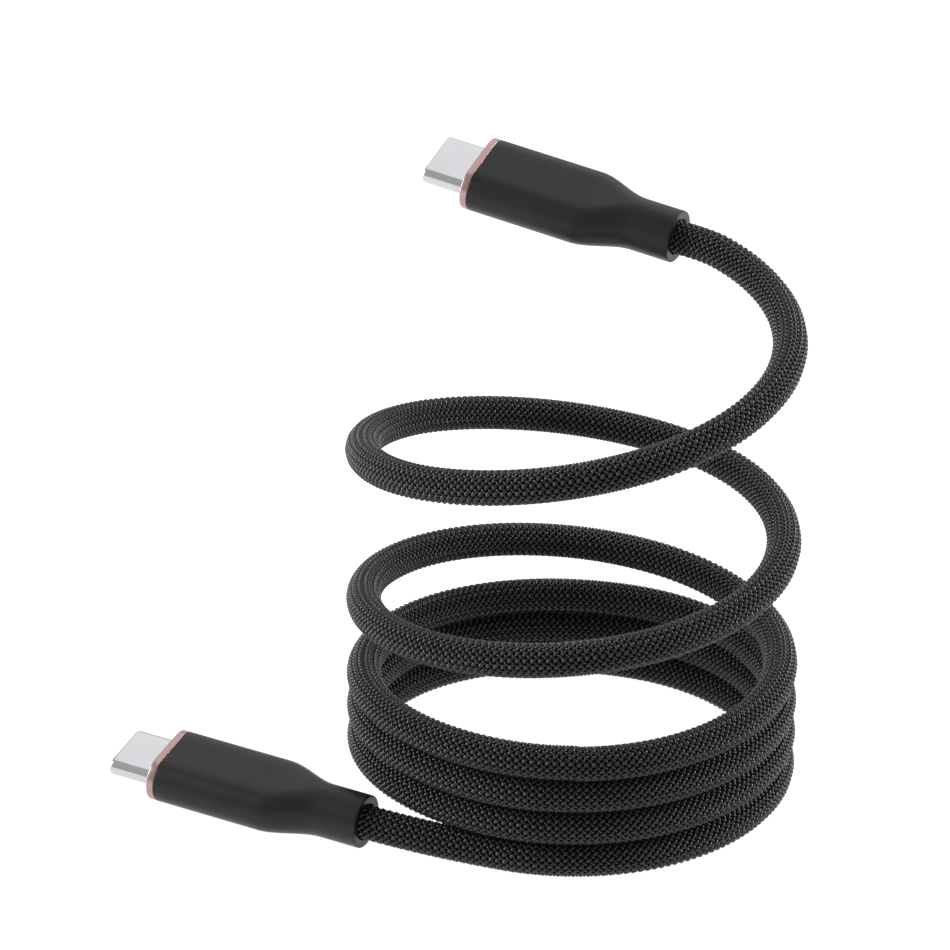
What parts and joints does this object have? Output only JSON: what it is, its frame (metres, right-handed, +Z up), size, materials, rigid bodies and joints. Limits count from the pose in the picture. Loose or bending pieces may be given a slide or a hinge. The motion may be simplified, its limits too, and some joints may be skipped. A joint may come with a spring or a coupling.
{
  "type": "charging cable",
  "caption": "Self-coiling braided charging cable, its turns stacked and rising like an open spring, with a flat reversible plug in a long soft grip at each end.",
  "frame": {"origin": "on the surface the cable stands on, under the middle of the box round the two plugs and their pieces", "axes": "+Z up, along the coil's axis. Both plugs point away from the cord towards -X and +Y, about 27 degrees from -X in plan. +Y runs from the coil's front, where the lower plug lies, to its back, where the upper plug is"},
  "size_m": [0.0892, 0.072, 0.0732],
  "materials": {
    "braid": "tight plain braid of black polyester yarn",
    "shell_steel": "satin plated, bead-blasted",
    "insulator_black": "moulded",
    "contact_gold": "gold plated",
    "spring_steel": "stamped, bright",
    "can_steel": "drawn, bright",
    "board_green": "solder mask",
    "chip_black": "moulded",
    "mould_white": "low-pressure moulded",
    "trim_rose": "dusty rose-gold, satin anodised",
    "soft_touch_black": "soft-touch matte",
    "jacket_black": "smooth, matte",
    "wire_red": "extruded insulation",
    "wire_black": "extruded insulation",
    "wire_blue": "extruded insulation",
    "wire_green": "extruded insulation",
    "wire_white": "extruded insulation"
  },
  "bodies": {
    "root": {"cord_lead": "braid", "cord_stack": "braid", "cord_free_turns": "braid", "lower_shell": "shell_steel", "lower_insulator": "insulator_black", "lower_contacts_upper": "contact_gold", "lower_contacts_lower": "contact_gold", "lower_ground_spring_upper": "spring_steel", "lower_ground_spring_lower": "spring_steel", "lower_can_upper": "can_steel", "lower_can_lower": "can_steel", "lower_latch_spring": "spring_steel", "lower_paddle_board": "board_green", "lower_controller_chip": "chip_black", "lower_inner_mould": "mould_white", "lower_trim_ring": "trim_rose", "lower_housing": "soft_touch_black", "lower_jacket_end": "jacket_black", "lower_crimp_ferrule": "can_steel", "lower_wire_vbus": "wire_red", "lower_wire_ground": "wire_black", "lower_wire_cc": "wire_blue", "lower_wire_data_plus": "wire_green", "lower_wire_data_minus": "wire_white", "upper_shell": "shell_steel", "upper_insulator": "insulator_black", "upper_contacts_upper": "contact_gold", "upper_contacts_lower": "contact_gold", "upper_ground_spring_upper": "spring_steel", "upper_ground_spring_lower": "spring_steel", "upper_can_upper": "can_steel", "upper_can_lower": "can_steel", "upper_latch_spring": "spring_steel", "upper_paddle_board": "board_green", "upper_controller_chip": "chip_black", "upper_inner_mould": "mould_white", "upper_trim_ring": "trim_rose", "upper_housing": "soft_touch_black", "upper_jacket_end": "jacket_black", "upper_crimp_ferrule": "can_steel", "upper_wire_vbus": "wire_red", "upper_wire_ground": "wire_black", "upper_wire_cc": "wire_blue", "upper_wire_data_plus": "wire_green", "upper_wire_data_minus": "wire_white"}
  },
  "joints": []
}
